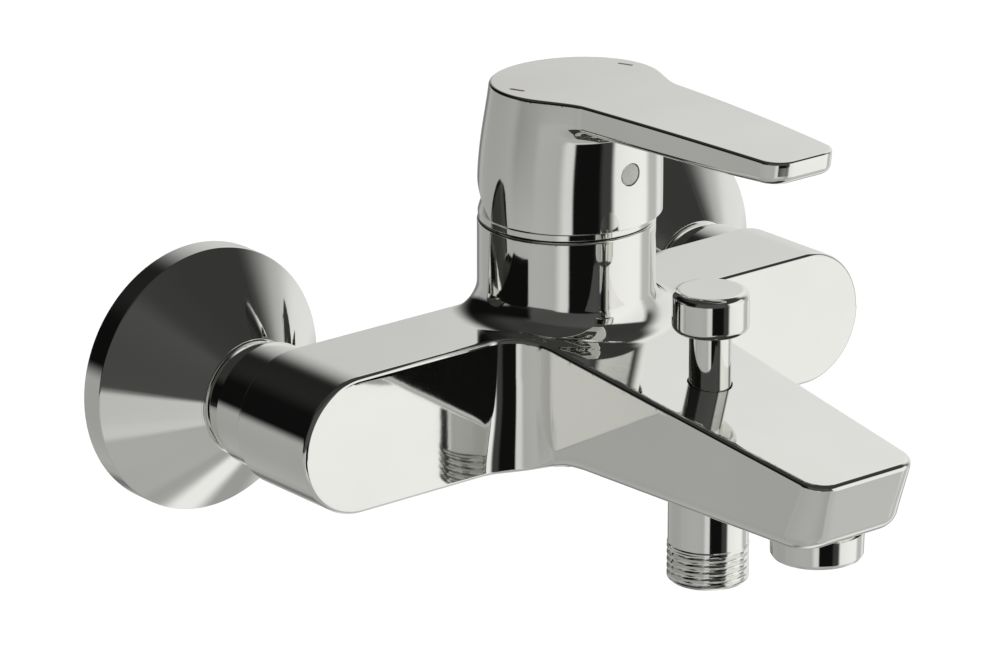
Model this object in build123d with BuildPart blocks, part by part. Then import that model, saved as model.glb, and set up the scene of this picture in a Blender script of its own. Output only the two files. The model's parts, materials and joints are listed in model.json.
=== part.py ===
"""Wall mounted bath and shower mixer: a cast bar body on two eccentric unions, a lever over a ceramic
disc cartridge, and a pull-up diverter that sends the water to the spout or to the shower hose outlet.

Everything is drawn in millimetres about the inlet axis: the wall is the plane y = 0, -Y is the way the
spout points, +X is the right hand seen from the front and +Z is up. The finished pieces are written
RISE higher, which puts the origin on the wall midway between the two supply pipes.
"""
import os
from math import cos, hypot, radians, sin, sqrt, tan

from build123d import *

# ---------------------------------------------------------------- driving dimensions
CENTRES = 150.0  # between the two supply pipes, and between the body's two inlets
RISE = 8.0  # how far the eccentric unions lift the mixer above the pipes
HALF = CENTRES / 2
FIT = 0.04  # radial play of a shaft turning or sliding in its bore
THREAD_FIT = 0.03  # radial play between two threads, drawn at their mating diameter
PLAY = 0.3  # gap between pieces that pass each other without touching

# body casting
BAR_RADIUS = 18.1
BAR_BACK = -42.3
BAR_FRONT = -70.3
BAR_MIDDLE = (BAR_BACK + BAR_FRONT) / 2
RIM_ROUND = 0.8
BASE_ROUND = 6.0  # where the column grows out of the body
COLUMN_Y = -60.1
COLUMN_RADIUS = 23.0
COLUMN_TOP = 42.3
SPOUT_TIP = -175.9
SPOUT_ROOT_HALF = 23.3
SPOUT_TIP_HALF = 17.0
SPOUT_TIP_TOP = 4.7
CREASE = (-72.3, 30.0)  # where the spout's top starts to fall, and how round it is there
SPOUT_FLOOR = -14.5
SPOUT_LEAN = 5.0  # how far the tip's face leans back at the bottom
SPOUT_FLOOR_START = 14.0  # how far before the bar the spout's floor becomes level
SPOUT_LOWER_ROUND = 4.0
ROOT_ROUND = 11.0  # where the spout's sides run into the bar, seen from above
TIP_ROUND = 3.5
DIVERTER_Y = -116.3
AERATOR_Y = -157.0
AERATOR_WELL = 8.0  # bore above the aerator

# waterways in the casting
TAIL_BORE = 6.5
WAY_RADIUS = 5.5
WAY_Z = -3.0
PORT_X = 5.8
PORT_RADIUS = 3.2
MIXED_PORT_Y = -66.1
MIXED_WAY_HALF = 5.5
REAR_WAY = (-5.4, -1.8)  # floor and ceiling of the way to the diverter
FRONT_WAY = (1.6, 5.0)  # floor and ceiling of the way on to the aerator
PORTS = [(-PORT_X, BAR_MIDDLE), (PORT_X, BAR_MIDDLE), (0, MIXED_PORT_Y)]

# pipe threads, drawn as rings at the crest diameter
THREAD_PITCH = 1.814
THREAD_DEPTH = 1.0
THREAD_CREST = 0.16  # half a crest's width, in pitches
LEAD_IN = 0.8  # chamfer at a thread's end
HALF_INCH = 10.48
THREE_QUARTER = 13.22

# escutcheons and unions
ESCUTCHEON_RADIUS = 35.0
ESCUTCHEON_RIM = -6.6
ESCUTCHEON_FRONT = -24.9
LIP_RADIUS = 15.9
LIP_CHAMFER = 0.4
SHEET = 1.0
PIPE_REACH = 15.0  # how far the wall thread goes into the wall
UNION_BACK = -1.0
UNION_FRONT = -9.0
UNION_END = -27.0
WALL_BORE = 6.5
UNION_BORE = 8.5
UNION_WALL = 1.5  # how much wider the union's body is than its threads
UNION_STEP = 4.0  # depth at which the two bores meet, behind the wall
COLLAR_RADIUS = 16.4
COLLAR_SHOULDER = -31.5
NUT_BACK = -16.0
FLANGE_RADIUS = 12.8
FLANGE_BACK = -29.0
FLANGE_FRONT = -31.4
TAIL_RADIUS = 10.3
TAIL_THREAD_RADIUS = 9.5
TAIL_THREAD_END = -52.0
SCREEN_RADIUS = 10.0
SCREEN_SHEET = 0.6
SCREEN_HOLE = 0.7
SCREEN_HOLES = [(2.2, 6), (4.4, 12), (6.6, 18)]  # rings of holes: radius, count

# cartridge, from its base upwards
BASE_Z = 8.0
SEAL_SHEET = 1.2
FIXED_DISC_Z = 16.0
MOVING_DISC_Z = 19.5
CARRIER_Z = 23.0
CARRIER_TOP = 29.5
BALL_Z = 27.5
TURRET_Z = 29.9
FLANGE_Z = 32.6
SHOULDER_Z = 36.0
HOUSING_TOP = 41.0
TURRET_TOP = 45.0
CARTRIDGE_RADIUS = 17.4
BASE_RADIUS = 17.3
SEAL_WIDTH = 1.2
DISC_PORT = 2.6
POCKET_LENGTH = 12.0
POCKET_WIDTH = 7.0
POCKET_DEPTH = 1.6
HOUSING_BORE = 14.6
HOUSING_NECK = 14.0
DISC_RADIUS = 14.5
MOVING_RADIUS = 9.8
CARRIER_HUB = 5.5
CARRIER_SHEET = 2.0
TURRET_FLANGE = 14.0
TURRET_NECK = 10.5
SLOT_FRONT = 7.2
SLOT_BACK = 7.6
PIN_RADIUS = 1.5
PIN_HALF = 10.0
BALL_RADIUS = 2.6
BALL_PLAY = 0.15  # takes up the difference between the ball's arc and the disc's straight slide
NECK_RADIUS = 1.9
STEM_HALF = 3.5
STEM_FOOT = 33.0
STEM_TOP = 69.0
PIVOT_Z = 38.1
NUT_RADIUS = 19.0
NUT_TOP = 42.6
NOTCH_WIDTH = 3.4
NOTCH_DEPTH = 2.0

# dome over the cartridge
DOME_RADIUS = 23.6  # a sphere about the pivot
DOME_EDGE = 22.8
DOME_TOP = 54.5
DOME_SHEET = 1.2
DOME_BORE = 16.0

# lever handle: the skirt is lofted through circles of (height, radius, shift to the front)
SKIRT = [(45.0, 23.8, 1.35), (54.0, 23.77, 1.4), (60.0, 23.55, 1.7), (68.0, 23.05, 2.5), (78.0, 22.2, 3.8)]
CAVITY = [(44.9, 23.15, 1.35), (60.0, 21.4, 1.7), (74.0, 19.6, 3.0)]
HEAD_Z = 79.5  # top of the handle over the column's axis
HEAD_TILT = 2.2  # degrees there, rising to the front
HEAD_RADIUS = 22.3
HEAD_SHIFT = 3.7
LEVER_CREST = [(-20.0, 78.6), (45.0, 80.6), (93.0, 80.3)]  # arched top: (distance before the axis, height)
LEVER_SIDE = [(16.6, 0.0), (14.2, -46.0), (10.1, -92.0)]  # bowed side, seen from above
LEVER_ROOT_FOOT = 72.9  # underside of the lever where it leaves the skirt
LEVER_TIP_FOOT = 74.3
LEVER_TIP_ROUND = 4.0
NECK_ROUND = 15.0  # where the lever's sides run into the head, seen from above
RELIEF_ANGLE = 37.0  # of the cut that lets the skirt's back swing down
RELIEF_Y = 2.1  # where that cut starts, behind the column's axis
BOSS_HALF = 5.5
BOSS_Z = 57.0
ROOF = 2.0  # sheet left above the boss's root
GRUB_Z = 59.4
GRUB_RADIUS = 2.5
GRUB_LENGTH = 5.0
GRUB_FRONT = -87.0
SOCKET_RADIUS = 1.4
SOCKET_DEPTH = 3.0
PLUG_RADIUS = 3.0
PLUG_FRONT = -85.0
PLUG_SHEET = 1.4
WEB_HALF = 4.5
WEB_Z = 55.0
MARKS = [(-17.8, -1.6), (17.8, -1.6)]
MARK_LENGTH = 1.0
MARK_WIDTH = 4.0
MARK_DEPTH = 0.3

# diverter
TRAVEL = 7.0
ROD_RADIUS = 5.4
ROD_TENON = 3.0
TENON_LENGTH = 7.0
KNOB_RADIUS = 9.8
KNOB_Z = 26.3
KNOB_TOP = 37.2
KNOB_ROUND = 2.0
CHAMBER_RADIUS = 8.6
BUSH_Z = 6.5
BUSH_TOP = 9.5
RING_WIRE = 0.95
PISTON_TOP = -5.5
PISTON_FOOT = -8.3
PISTON_RADIUS = 8.2
PISTON_RIM = 0.7
PISTON_GROOVE = 1.2
SEAT_RADIUS = 7.9
SEAT_Z = -9.5
SPRING_RADIUS = 6.9
SPRING_WIRE = 0.35
SPRING_TURNS = 5

# shower outlet with its check valve
OUTLET_NECK = 10.3
OUTLET_THREAD_Z = -30.2
OUTLET_END = -40.1
OUTLET_BORE = 5.5
RING_GROOVE = 1.0
RING_SEAT = 9.6
VALVE_BORE = 6.5
VALVE_TOP = -23.5
CAGE_FOOT = -36.0
CAGE_BORE = 5.2
CAGE_SEAT = 3.6
SPIDER = 1.5
SPIDER_RING = 3.7
SPIDER_HOLE = 1.1
POPPET_TOP = -25.3
POPPET_FOOT = -26.6
POPPET_RADIUS = 4.5
POPPET_STEM = 1.2
STEM_END = -36.5
VALVE_SPRING_RADIUS = 1.9
VALVE_SPRING_WIRE = 0.2
VALVE_SPRING_TURNS = 6
SPRING_GAP = 0.05  # at each end of a coil

# aerator
AERATOR_THREAD = 11.0
AERATOR_SEAT = -3.0
AERATOR_TOP = -5.0
AERATOR_FOOT = -21.5
AERATOR_SHELL = 11.85
AERATOR_BORE = 9.5
AERATOR_MOUTH = 8.7
AERATOR_DRAFT = 0.15
AERATOR_ROUND = 1.2
GASKET_BORE = 8.5
STRAINER_FOOT = -8.0
INSERT_FOOT = -20.5
JET_RADIUS = 0.8
JETS = [(2.2, 6), (4.5, 12), (6.8, 18)]
STRAINER_HOLE = 0.5
STRAINER_HOLES = [(1.5, 5), (3.3, 11), (5.1, 17), (6.9, 23)]

pieces = {}


def turned(y, *profile):
    """Adds the profile, as (radius, height) points, turned about the upright axis at that y."""
    with BuildSketch(Plane(origin=(0, y, 0), x_dir=(1, 0, 0), z_dir=(0, -1, 0)), mode=Mode.PRIVATE) as face:
        Polygon(*profile, align=None)
    revolve(face.sketch, axis=Axis((0, y, 0), (0, 0, 1)))


def turned_at_inlet(side, height, *profile):
    """Adds the profile, as (radius, y) points, turned about an inlet's axis at that height."""
    centre = (side * HALF, 0, height)
    with BuildSketch(Plane(origin=centre, x_dir=(1, 0, 0), z_dir=(0, 0, 1)), mode=Mode.PRIVATE) as face:
        Polygon(*profile, align=None)
    revolve(face.sketch, axis=Axis(centre, (0, 1, 0)))


def rod(start, direction, radius, length, mode=Mode.ADD):
    """Adds or cuts a round bar that begins at start."""
    with BuildSketch(Plane(origin=start, z_dir=direction), mode=Mode.PRIVATE) as face:
        Circle(radius)
    extrude(face.sketch, amount=length, mode=mode)


def block(low, high, mode=Mode.ADD):
    """Adds or cuts a box between two opposite corners."""
    with Locations([tuple((a + b) / 2 for a, b in zip(low, high))]):
        Box(*[b - a for a, b in zip(low, high)], mode=mode)


def thread_rings(radius, start, end):
    """The outside of a thread as (radius, distance) points, with one V groove a turn."""
    step = THREAD_PITCH if end > start else -THREAD_PITCH
    points = []
    for turn in range(int((end - start) / step)):
        at = start + turn * step
        points += [(radius, at), (radius, at + THREAD_CREST * step), (radius - THREAD_DEPTH, at + step / 2)]
        points += [(radius, at + step - THREAD_CREST * step)]
    return points + [(radius, end)]


def spring(y, radius, wire, low, high, turns):
    """A closed coil between two heights."""
    pitch = (high - low - 2 * wire) / turns
    with BuildLine() as coil:
        Helix(pitch=pitch, height=pitch * turns, radius=radius, center=(0, y, low + wire))
    with BuildSketch(Plane(origin=coil.line @ 0, z_dir=coil.line % 0), mode=Mode.PRIVATE) as section:
        Circle(wire)
    sweep(section.sketch, path=coil.line, is_frenet=True)


def on_column(edge):
    """True for an edge that lies on the column's wall."""
    ends = (edge @ 0, edge @ 0.5, edge @ 1)
    return all(abs(hypot(end.X, end.Y - COLUMN_Y) - COLUMN_RADIUS) < 0.01 for end in ends)


# ---------------------------------------------------------------- body casting
with BuildPart() as mixer_body:
    # the spout from above, widening into the bar's front face
    with BuildSketch(Plane.XY.offset(-BAR_RADIUS)):
        corners = [
            (SPOUT_ROOT_HALF + 20, BAR_MIDDLE),
            (SPOUT_ROOT_HALF + 20, BAR_FRONT),
            (SPOUT_ROOT_HALF, BAR_FRONT),
            (SPOUT_TIP_HALF, SPOUT_TIP),
        ]
        Polygon(*corners, *[(-x, y) for x, y in reversed(corners)], align=None)
        roots = vertices().filter_by_position(Axis.X, -SPOUT_ROOT_HALF - 0.1, SPOUT_ROOT_HALF + 0.1)
        fillet(roots.filter_by_position(Axis.Y, BAR_FRONT - 0.1, BAR_FRONT + 0.1), ROOT_ROUND)
        fillet(vertices().filter_by_position(Axis.Y, SPOUT_TIP - 0.1, SPOUT_TIP + 0.1), TIP_ROUND)
    extrude(amount=2 * BAR_RADIUS)
    # and from the side
    with BuildSketch(Plane.YZ.offset(-HALF)):
        Polygon(
            (BAR_MIDDLE, -BAR_RADIUS),
            (BAR_FRONT, -BAR_RADIUS),
            (BAR_FRONT - SPOUT_FLOOR_START, SPOUT_FLOOR),
            (SPOUT_TIP + SPOUT_LEAN, SPOUT_FLOOR),
            (SPOUT_TIP, SPOUT_TIP_TOP - 1),
            (SPOUT_TIP, SPOUT_TIP_TOP),
            (CREASE[0], BAR_RADIUS),
            (BAR_MIDDLE, BAR_RADIUS),
            align=None,
        )
        fillet(vertices().sort_by_distance((-HALF, CREASE[0], BAR_RADIUS))[0], CREASE[1])
    extrude(amount=CENTRES, mode=Mode.INTERSECT)
    lower = mixer_body.edges().filter_by_position(Axis.Z, SPOUT_FLOOR - 0.1, SPOUT_FLOOR + 0.1)
    fillet(lower.filter_by(lambda edge: edge.length > 80), SPOUT_LOWER_ROUND)
    # the bar is first drawn deeper, so that the column's flared base ends on its top, and then cut
    # back from behind; the column stands proud of the cut
    with BuildSketch(Plane(origin=(0, 0, 0), x_dir=(1, 0, 0), z_dir=(0, -1, 0))):
        SlotCenterToCenter(CENTRES, 2 * BAR_RADIUS)
    extrude(amount=-BAR_FRONT)
    column = ((0, COLUMN_Y, -BAR_RADIUS), (0, 0, 1), COLUMN_RADIUS, BAR_RADIUS + COLUMN_TOP)
    rod(*column)
    foot = mixer_body.edges().filter_by(on_column).filter_by_position(Axis.Z, SPOUT_TIP_TOP, BAR_RADIUS + 1)
    fillet(foot, BASE_ROUND)
    block((-CENTRES, BAR_BACK, -COLUMN_TOP), (CENTRES, 1, COLUMN_TOP), Mode.SUBTRACT)
    rod(*column)
    fillet(mixer_body.edges().filter_by(GeomType.CIRCLE).sort_by(Axis.Z)[-1], RIM_ROUND)
    # cartridge chamber, with the retaining nut's thread at its mouth
    rod((0, COLUMN_Y, BASE_Z), (0, 0, 1), CARTRIDGE_RADIUS + FIT, COLUMN_TOP, Mode.SUBTRACT)
    rod((0, COLUMN_Y, SHOULDER_Z), (0, 0, 1), NUT_RADIUS + THREAD_FIT, COLUMN_TOP, Mode.SUBTRACT)
    # hot and cold ways: in at the back of the bar, along it, and up to the cartridge's base
    for side in (-1, 1):
        inlet = (side * HALF, BAR_BACK, 0)
        rod(inlet, (0, -1, 0), TAIL_THREAD_RADIUS + THREAD_FIT, BAR_BACK - TAIL_THREAD_END, Mode.SUBTRACT)
        rod(inlet, (0, -1, 0), TAIL_BORE, BAR_BACK - BAR_MIDDLE + WAY_RADIUS, Mode.SUBTRACT)
        rod((side * HALF, BAR_MIDDLE, WAY_Z), (-side, 0, 0), WAY_RADIUS, HALF - PORT_X, Mode.SUBTRACT)
        rod((side * PORT_X, BAR_MIDDLE, WAY_Z), (0, 0, 1), PORT_RADIUS, BASE_Z - WAY_Z, Mode.SUBTRACT)
    # mixed water: down from the cartridge, forward to the diverter, and on to the aerator
    rod((0, MIXED_PORT_Y, REAR_WAY[0]), (0, 0, 1), PORT_RADIUS, BASE_Z - REAR_WAY[0], Mode.SUBTRACT)
    for back, front, (floor, ceiling) in (
        (MIXED_PORT_Y, DIVERTER_Y, REAR_WAY),
        (DIVERTER_Y, AERATOR_Y, FRONT_WAY),
    ):
        block((-MIXED_WAY_HALF, front, floor), (MIXED_WAY_HALF, back, ceiling), Mode.SUBTRACT)
    # diverter: a bore for the rod, above a chamber that takes the guide bush and the outlet
    rod((0, DIVERTER_Y, 0), (0, 0, 1), ROD_RADIUS + PLAY, BAR_RADIUS, Mode.SUBTRACT)
    chamber_depth = BUSH_TOP - SPOUT_FLOOR + 1
    rod((0, DIVERTER_Y, SPOUT_FLOOR - 1), (0, 0, 1), CHAMBER_RADIUS, chamber_depth, Mode.SUBTRACT)
    # aerator seat in the spout's floor
    seat_depth = AERATOR_SEAT - SPOUT_FLOOR + 1
    rod((0, AERATOR_Y, SPOUT_FLOOR - 1), (0, 0, 1), AERATOR_THREAD + THREAD_FIT, seat_depth, Mode.SUBTRACT)
    rod((0, AERATOR_Y, AERATOR_SEAT), (0, 0, 1), AERATOR_WELL, FRONT_WAY[0] + 1 - AERATOR_SEAT, Mode.SUBTRACT)
pieces["mixer_body"] = mixer_body

# ---------------------------------------------------------------- wall connections, one set for each side
for side, hand in ((-1, "left"), (1, "right")):
    # cone shaped wall cover: thin sheet with a lip, open at the wall
    with BuildPart() as escutcheon:
        turned_at_inlet(
            side,
            0,
            (ESCUTCHEON_RADIUS, 0),
            (ESCUTCHEON_RADIUS, ESCUTCHEON_RIM),
            (LIP_RADIUS, ESCUTCHEON_FRONT + LIP_CHAMFER),
            (LIP_RADIUS - LIP_CHAMFER, ESCUTCHEON_FRONT),
            (LIP_RADIUS - SHEET, ESCUTCHEON_FRONT),
            (LIP_RADIUS - SHEET, ESCUTCHEON_FRONT + SHEET),
            (ESCUTCHEON_RADIUS - SHEET, ESCUTCHEON_RIM + SHEET / 2),
            (ESCUTCHEON_RADIUS - SHEET, 0),
        )
    pieces["escutcheon_" + hand] = escutcheon

    # eccentric union: wall thread below, mixer thread above, a short round body joining them
    with BuildPart() as union:
        wall_thread = thread_rings(HALF_INCH, UNION_BACK, PIPE_REACH)
        turned_at_inlet(side, -RISE, (0, UNION_BACK), *wall_thread, (0, PIPE_REACH))
        mixer_thread = thread_rings(THREE_QUARTER, UNION_FRONT, UNION_END)
        turned_at_inlet(side, 0, (0, UNION_FRONT), *mixer_thread, (0, UNION_END))
        for height, radius in ((-RISE, HALF_INCH + UNION_WALL), (0, THREE_QUARTER + UNION_WALL / 2)):
            rod((side * HALF, UNION_BACK, height), (0, -1, 0), radius, UNION_BACK - UNION_FRONT)
        wall_depth = PIPE_REACH + UNION_STEP + 2
        rod((side * HALF, PIPE_REACH, -RISE), (0, -1, 0), WALL_BORE, wall_depth, Mode.SUBTRACT)
        rod((side * HALF, UNION_END, 0), (0, 1, 0), UNION_BORE, -UNION_END - UNION_STEP, Mode.SUBTRACT)
    pieces["eccentric_union_" + hand] = union

    # round union nut, held on the body's tail by its front lip
    with BuildPart() as nut:
        turned_at_inlet(
            side,
            0,
            (THREE_QUARTER + THREAD_FIT, NUT_BACK),
            (LIP_RADIUS - SHEET - PLAY, NUT_BACK),
            (LIP_RADIUS - SHEET - PLAY, ESCUTCHEON_FRONT),
            (COLLAR_RADIUS, COLLAR_SHOULDER),
            (COLLAR_RADIUS, BAR_BACK + PLAY),
            (TAIL_RADIUS + PLAY, BAR_BACK + PLAY),
            (TAIL_RADIUS + PLAY, FLANGE_FRONT - PLAY),
            (THREE_QUARTER + THREAD_FIT, FLANGE_FRONT - PLAY),
        )
    pieces["union_nut_" + hand] = nut

    # flanged tail that is screwed into the body
    with BuildPart() as tail:
        turned_at_inlet(
            side,
            0,
            (TAIL_BORE, FLANGE_BACK),
            (FLANGE_RADIUS, FLANGE_BACK),
            (FLANGE_RADIUS, FLANGE_FRONT),
            (TAIL_RADIUS, FLANGE_FRONT),
            (TAIL_RADIUS, BAR_BACK),
            (TAIL_THREAD_RADIUS, BAR_BACK),
            (TAIL_THREAD_RADIUS, TAIL_THREAD_END),
            (TAIL_BORE, TAIL_THREAD_END),
        )
    pieces["inlet_tail_" + hand] = tail

    # flat rubber gasket, stepped to hold the dirt screen
    with BuildPart() as gasket:
        turned_at_inlet(
            side,
            0,
            (SCREEN_RADIUS, UNION_END),
            (FLANGE_RADIUS, UNION_END),
            (FLANGE_RADIUS, FLANGE_BACK),
            (UNION_BORE, FLANGE_BACK),
            (UNION_BORE, UNION_END - SCREEN_SHEET),
            (SCREEN_RADIUS, UNION_END - SCREEN_SHEET),
        )
    pieces["union_gasket_" + hand] = gasket

    # perforated dirt screen
    with BuildPart() as screen:
        with BuildSketch(Plane(origin=(side * HALF, UNION_END, 0), z_dir=(0, -1, 0))):
            Circle(SCREEN_RADIUS)
            for ring_radius, count in SCREEN_HOLES:
                with PolarLocations(ring_radius, count):
                    Circle(SCREEN_HOLE, mode=Mode.SUBTRACT)
        extrude(amount=SCREEN_SHEET)
    pieces["inlet_screen_" + hand] = screen

# ---------------------------------------------------------------- cartridge
with BuildPart() as cartridge_base:
    foot_z = BASE_Z + SEAL_SHEET
    turned(COLUMN_Y, (0, foot_z), (BASE_RADIUS, foot_z), (BASE_RADIUS, FIXED_DISC_Z), (0, FIXED_DISC_Z))
    for x, y in PORTS:
        rod((x, y, BASE_Z), (0, 0, 1), PORT_RADIUS, FIXED_DISC_Z, Mode.SUBTRACT)
pieces["cartridge_base"] = cartridge_base

with BuildPart() as cartridge_seals:
    with BuildSketch(Plane.XY.offset(BASE_Z)):
        with Locations(*PORTS):
            Circle(PORT_RADIUS + SEAL_WIDTH)
        with Locations(*PORTS):
            Circle(PORT_RADIUS, mode=Mode.SUBTRACT)
    extrude(amount=SEAL_SHEET)
pieces["cartridge_seals"] = cartridge_seals

with BuildPart() as cartridge_housing:
    turned(
        COLUMN_Y,
        (HOUSING_BORE, FIXED_DISC_Z),
        (CARTRIDGE_RADIUS, FIXED_DISC_Z),
        (CARTRIDGE_RADIUS, SHOULDER_Z),
        (HOUSING_NECK, SHOULDER_Z),
        (HOUSING_NECK, HOUSING_TOP),
        (TURRET_NECK + FIT, HOUSING_TOP),
        (TURRET_NECK + FIT, FLANGE_Z + PLAY),
        (HOUSING_BORE, FLANGE_Z + PLAY),
    )
pieces["cartridge_housing"] = cartridge_housing

with BuildPart() as fixed_disc:
    turned(
        COLUMN_Y,
        (0, FIXED_DISC_Z),
        (DISC_RADIUS, FIXED_DISC_Z),
        (DISC_RADIUS, MOVING_DISC_Z),
        (0, MOVING_DISC_Z),
    )
    for x, y in PORTS:
        rod((x, y, BASE_Z), (0, 0, 1), DISC_PORT, MOVING_DISC_Z, Mode.SUBTRACT)
pieces["fixed_disc"] = fixed_disc

with BuildPart() as moving_disc:
    turned(
        COLUMN_Y,
        (0, MOVING_DISC_Z),
        (MOVING_RADIUS, MOVING_DISC_Z),
        (MOVING_RADIUS, CARRIER_Z),
        (0, CARRIER_Z),
    )
    # the mixing pocket in its underside
    with BuildSketch(Plane.XY.offset(MOVING_DISC_Z)):
        with Locations((0, COLUMN_Y)):
            SlotOverall(POCKET_LENGTH, POCKET_WIDTH)
    extrude(amount=POCKET_DEPTH, mode=Mode.SUBTRACT)
pieces["moving_disc"] = moving_disc

with BuildPart() as disc_carrier:
    turned(
        COLUMN_Y,
        (0, CARRIER_Z),
        (MOVING_RADIUS, CARRIER_Z),
        (MOVING_RADIUS, CARRIER_Z + CARRIER_SHEET),
        (CARRIER_HUB, CARRIER_Z + CARRIER_SHEET),
        (CARRIER_HUB, CARRIER_TOP),
        (0, CARRIER_TOP),
    )
    # socket that the stem's ball end swings in
    socket_floor = BALL_Z - BALL_RADIUS - PLAY
    rod((0, COLUMN_Y, socket_floor), (0, 0, 1), BALL_RADIUS + BALL_PLAY, CARRIER_TOP, Mode.SUBTRACT)
pieces["disc_carrier"] = disc_carrier

with BuildPart() as cartridge_turret:
    turned(
        COLUMN_Y,
        (0, TURRET_Z),
        (TURRET_FLANGE, TURRET_Z),
        (TURRET_FLANGE, FLANGE_Z),
        (TURRET_NECK, FLANGE_Z),
        (TURRET_NECK, TURRET_TOP),
        (0, TURRET_TOP),
    )
    # slot that the stem tilts in, and the pivot pin's hole across it
    slot = STEM_HALF + FIT
    block((-slot, COLUMN_Y - SLOT_FRONT, TURRET_Z), (slot, COLUMN_Y + SLOT_BACK, TURRET_TOP), Mode.SUBTRACT)
    rod((-TURRET_NECK, COLUMN_Y, PIVOT_Z), (1, 0, 0), PIN_RADIUS, 2 * TURRET_NECK, Mode.SUBTRACT)
pieces["cartridge_turret"] = cartridge_turret

with BuildPart() as pivot_pin:
    rod((-PIN_HALF, COLUMN_Y, PIVOT_Z), (1, 0, 0), PIN_RADIUS, 2 * PIN_HALF)
pieces["pivot_pin"] = pivot_pin

with BuildPart() as lever_stem:
    block((-STEM_HALF, COLUMN_Y - STEM_HALF, STEM_FOOT), (STEM_HALF, COLUMN_Y + STEM_HALF, STEM_TOP))
    rod((0, COLUMN_Y, BALL_Z), (0, 0, 1), NECK_RADIUS, STEM_FOOT - BALL_Z)
    with Locations((0, COLUMN_Y, BALL_Z)):
        Sphere(BALL_RADIUS)
    rod((-STEM_HALF, COLUMN_Y, PIVOT_Z), (1, 0, 0), PIN_RADIUS + FIT, 2 * STEM_HALF, Mode.SUBTRACT)
pieces["lever_stem"] = lever_stem

# ring nut that holds the cartridge down, with four notches for its key
with BuildPart() as retaining_nut:
    turned(
        COLUMN_Y,
        (HOUSING_NECK + THREAD_FIT, SHOULDER_Z),
        (NUT_RADIUS, SHOULDER_Z),
        (NUT_RADIUS, NUT_TOP),
        (HOUSING_NECK + THREAD_FIT, NUT_TOP),
    )
    with Locations((0, COLUMN_Y, NUT_TOP)):
        with PolarLocations(HOUSING_NECK, 4):
            Box(2 * NOTCH_DEPTH, NOTCH_WIDTH, 2 * NOTCH_DEPTH, mode=Mode.SUBTRACT)
pieces["retaining_nut"] = retaining_nut

with BuildPart() as cartridge_dome:
    with BuildSketch(Plane(origin=(0, COLUMN_Y, 0), x_dir=(1, 0, 0), z_dir=(0, -1, 0))):
        with BuildLine():
            edge_height = PIVOT_Z + sqrt(DOME_RADIUS**2 - DOME_EDGE**2)
            inner = DOME_RADIUS - DOME_SHEET
            rise = DOME_TOP - PIVOT_Z
            outer_top = (sqrt(DOME_RADIUS**2 - rise**2), DOME_TOP)
            inner_top = (sqrt(inner**2 - rise**2), DOME_TOP)
            floor = NUT_TOP + DOME_SHEET
            inner_foot = (sqrt(inner**2 - (floor - PIVOT_Z) ** 2), floor)
            foot = [(DOME_EDGE, NUT_TOP), (DOME_BORE, NUT_TOP), (DOME_BORE, floor)]
            Polyline((DOME_EDGE, edge_height), *foot, inner_foot)
            RadiusArc(inner_foot, inner_top, -inner)
            Line(inner_top, outer_top)
            RadiusArc(outer_top, (DOME_EDGE, edge_height), DOME_RADIUS)
        make_face()
    revolve(axis=Axis((0, COLUMN_Y, 0), (0, 0, 1)))
pieces["cartridge_dome"] = cartridge_dome

# ---------------------------------------------------------------- lever handle
HEAD = Plane(
    origin=(0, COLUMN_Y, HEAD_Z),
    x_dir=(1, 0, 0),
    z_dir=(0, sin(radians(HEAD_TILT)), cos(radians(HEAD_TILT))),
)
# the hollow inside the skirt, taken out of the handle below
with BuildPart() as lever_cavity:
    for height, radius, shift in CAVITY:
        with BuildSketch(Plane.XY.offset(height)):
            with Locations((0, COLUMN_Y - shift)):
                Circle(radius)
    loft()

# head and lever in one plate
with BuildPart() as lever_plate:
    # from above: a round head that runs into the bowed sides of the lever
    with BuildSketch(Plane(origin=(0, COLUMN_Y, PIVOT_Z))):
        with BuildLine():
            right = ThreePointArc(*LEVER_SIDE)
            left = ThreePointArc(*[(-x, y) for x, y in LEVER_SIDE])
            Line(right @ 0, left @ 0)
            Line(right @ 1, left @ 1)
        make_face()
        with Locations((0, -HEAD_SHIFT)):
            Circle(HEAD_RADIUS)
        tip = LEVER_SIDE[-1][1]
        fillet(vertices().filter_by_position(Axis.Y, tip - 1, tip + 1), LEVER_TIP_ROUND)
        fillet(vertices().filter_by_position(Axis.Y, -HEAD_RADIUS - HEAD_SHIFT, -HEAD_SHIFT), NECK_ROUND)
    extrude(amount=2 * PIVOT_Z)
    # from the side: the arched top, and an underside that rises towards the tip
    with BuildSketch(Plane.YZ.offset(-HALF)):
        with BuildLine():
            crest = ThreePointArc(*[(COLUMN_Y - forward, z) for forward, z in LEVER_CREST])
            root = (COLUMN_Y - HEAD_RADIUS - HEAD_SHIFT, LEVER_ROOT_FOOT)
            tip_foot = ((crest @ 1).X, LEVER_TIP_FOOT)
            Polyline(crest @ 1, tip_foot, root, ((crest @ 0).X, LEVER_ROOT_FOOT), crest @ 0)
        make_face()
    extrude(amount=CENTRES, mode=Mode.INTERSECT)

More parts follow.
